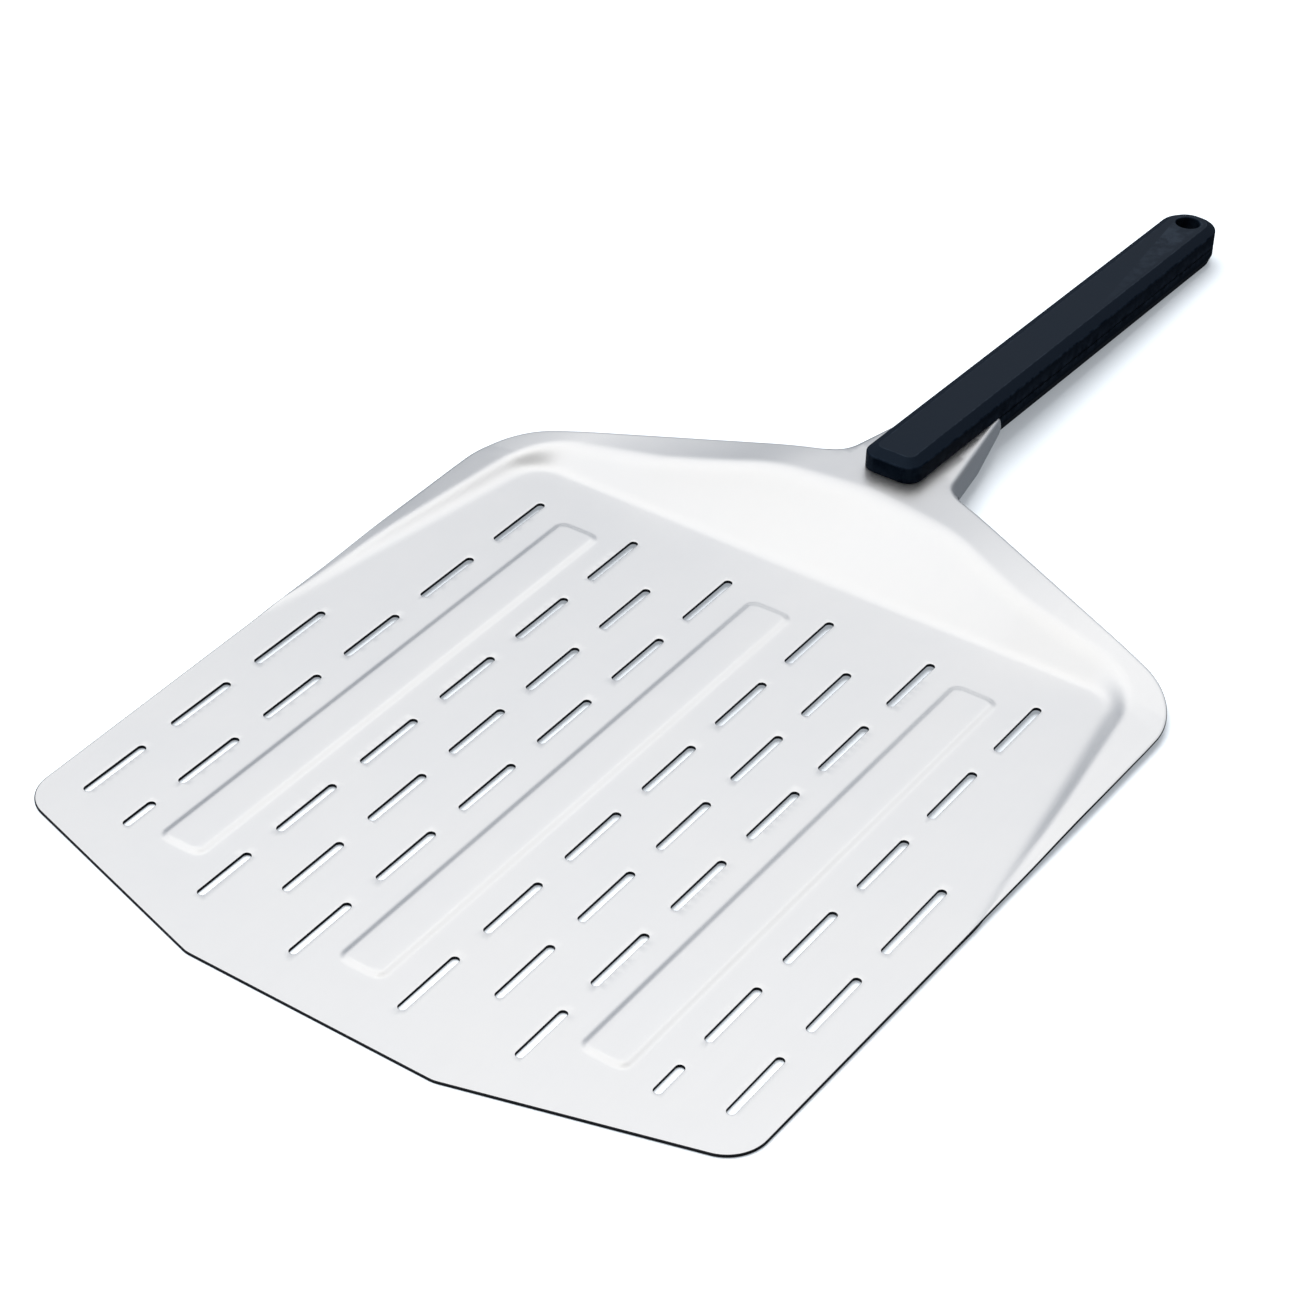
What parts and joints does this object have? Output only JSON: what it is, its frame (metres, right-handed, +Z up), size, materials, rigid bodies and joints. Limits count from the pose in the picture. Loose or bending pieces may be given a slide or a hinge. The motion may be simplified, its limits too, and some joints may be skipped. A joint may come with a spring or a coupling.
{
  "type": "pizza peel",
  "caption": "Flat slotted pizza peel with raised ribs, an upturned rear rim and a channel tang in a straight two-shell handle with a hanging hole.",
  "frame": {"origin": "on the table, under the middle of the peel's length and width", "axes": "+Y from the blade's front edge to the handle's end, +Z up, +X to the right seen from the front edge"},
  "size_m": [0.305, 0.6006, 0.0282],
  "materials": {
    "blade_aluminium": "fine-grained satin anodised aluminium",
    "handle_nylon": "finely textured near-black glass-filled nylon",
    "screw_steel": "plain turned steel",
    "insert_brass": "turned brass"
  },
  "bodies": {
    "root": {"blade": "blade_aluminium", "handle_upper_shell": "handle_nylon", "handle_lower_shell": "handle_nylon", "handle_screw_1": "screw_steel", "threaded_insert_1": "insert_brass", "handle_screw_2": "screw_steel", "threaded_insert_2": "insert_brass", "handle_screw_3": "screw_steel", "threaded_insert_3": "insert_brass", "handle_screw_4": "screw_steel", "threaded_insert_4": "insert_brass"}
  },
  "joints": []
}
